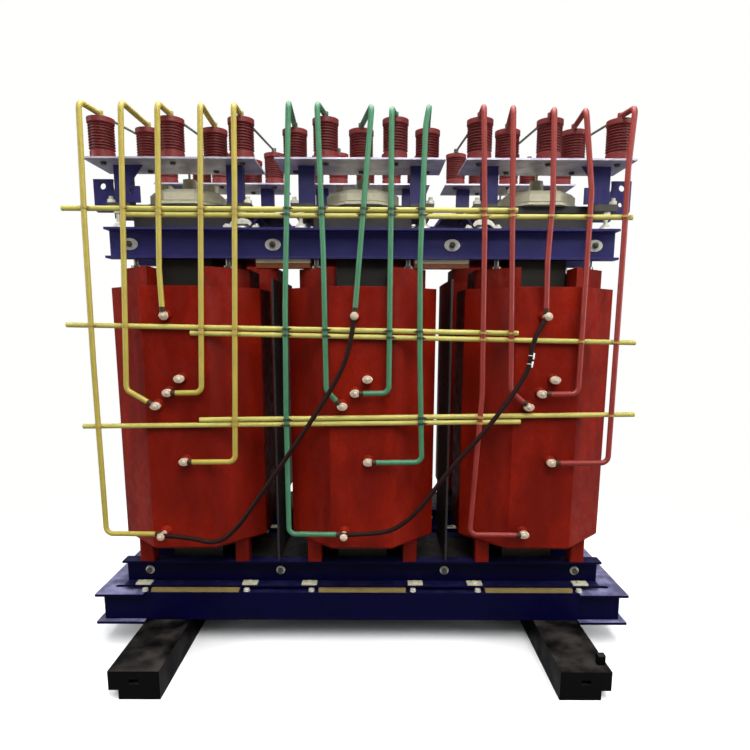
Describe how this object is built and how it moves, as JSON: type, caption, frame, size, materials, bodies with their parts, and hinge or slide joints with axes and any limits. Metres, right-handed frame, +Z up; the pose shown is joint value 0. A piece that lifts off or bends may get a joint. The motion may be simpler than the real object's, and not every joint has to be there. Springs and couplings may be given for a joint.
{
  "type": "magnetically controlled reactor",
  "caption": "Dry three-phase magnetically controlled reactor: two rows of octagonal cast-resin coils on clamped cores, with post insulators, rigid leads, a slotted steel base and skid sleepers.",
  "frame": {"origin": "centre of the footprint, on the floor under the sleepers", "axes": "+X along a row of three phases, -Y towards the lead rods, +Z up"},
  "size_m": [2.028, 1.724, 1.9905],
  "materials": {
    "cast_resin": "satin red-brown cast epoxy, lightly mottled",
    "blue_paint": "deep blue gloss enamel on steel",
    "black_paint": "glossy black enamel on steel",
    "core_steel": "dark varnished laminations",
    "pressed_board": "yellowish glass-fibre laminate",
    "zinc": "yellow-white zinc plate",
    "steel": "plain turned steel",
    "dark_board": "black laminate board",
    "cream_resin": "moulded cream resin",
    "insulator_resin": "dark red moulded epoxy",
    "plate_steel": "cold rolled stainless sheet",
    "yellow_sleeve": "yellow heat-shrink sleeve on a rod",
    "green_sleeve": "green heat-shrink sleeve on a rod",
    "red_sleeve": "red heat-shrink sleeve on a rod",
    "black_rubber": "black cable sheath",
    "tie_nylon": "dark nylon",
    "white_nylon": "white nylon",
    "brown_board": "varnished brown laminate",
    "pink_metal": "tinned bolt heads",
    "grey_green_sleeve": "grey-green sleeve on a thin rod"
  },
  "bodies": {
    "root": {"barrier_boards": "dark_board", "base_strips": "pressed_board", "cable_lugs": "tie_nylon", "cable_ties": "tie_nylon", "clamp_bolts": "zinc", "clamp_pads": "cream_resin", "coil_feet": "cast_resin", "cross_ties": "blue_paint", "frame_posts": "blue_paint", "frame_studs": "zinc", "inner_coils_front": "cast_resin", "inner_coils_rear": "cast_resin", "insulating_blocks": "cream_resin", "insulator_plates": "plate_steel", "insulators_front": "insulator_resin", "insulators_rear": "insulator_resin", "jumper_ab": "black_rubber", "jumper_bc": "black_rubber", "jumper_ties": "white_nylon", "lead_rods_a": "yellow_sleeve", "lead_rods_b": "green_sleeve", "lead_rods_c": "red_sleeve", "lifting_lugs": "blue_paint", "limbs_front": "core_steel", "limbs_rear": "core_steel", "link_rods": "grey_green_sleeve", "long_beams_front": "blue_paint", "long_beams_rear": "blue_paint", "lower_clamp_front_inner": "blue_paint", "lower_clamp_front_outer": "blue_paint", "lower_clamp_rear_inner": "blue_paint", "lower_clamp_rear_outer": "blue_paint", "lower_yoke_front": "core_steel", "lower_yoke_rear": "core_steel", "outer_coil_front_a": "cast_resin", "outer_coil_front_b": "cast_resin", "outer_coil_front_c": "cast_resin", "outer_coil_rear_a": "cast_resin", "outer_coil_rear_b": "cast_resin", "outer_coil_rear_c": "cast_resin", "packing_blocks": "dark_board", "phase_bar_tops": "cream_resin", "phase_bars": "brown_board", "press_bolts": "steel", "rear_pins": "steel", "side_beam_left": "blue_paint", "side_beam_right": "blue_paint", "sleeper_left": "black_paint", "sleeper_right": "black_paint", "sleeper_stop": "black_paint", "terminals": "pink_metal", "tie_rails": "yellow_sleeve", "top_plates": "dark_board", "upper_clamp_front_inner": "blue_paint", "upper_clamp_front_outer": "blue_paint", "upper_clamp_rear_inner": "blue_paint", "upper_clamp_rear_outer": "blue_paint", "upper_yoke_front": "core_steel", "upper_yoke_rear": "core_steel", "end_bars": "plate_steel"}
  },
  "joints": []
}
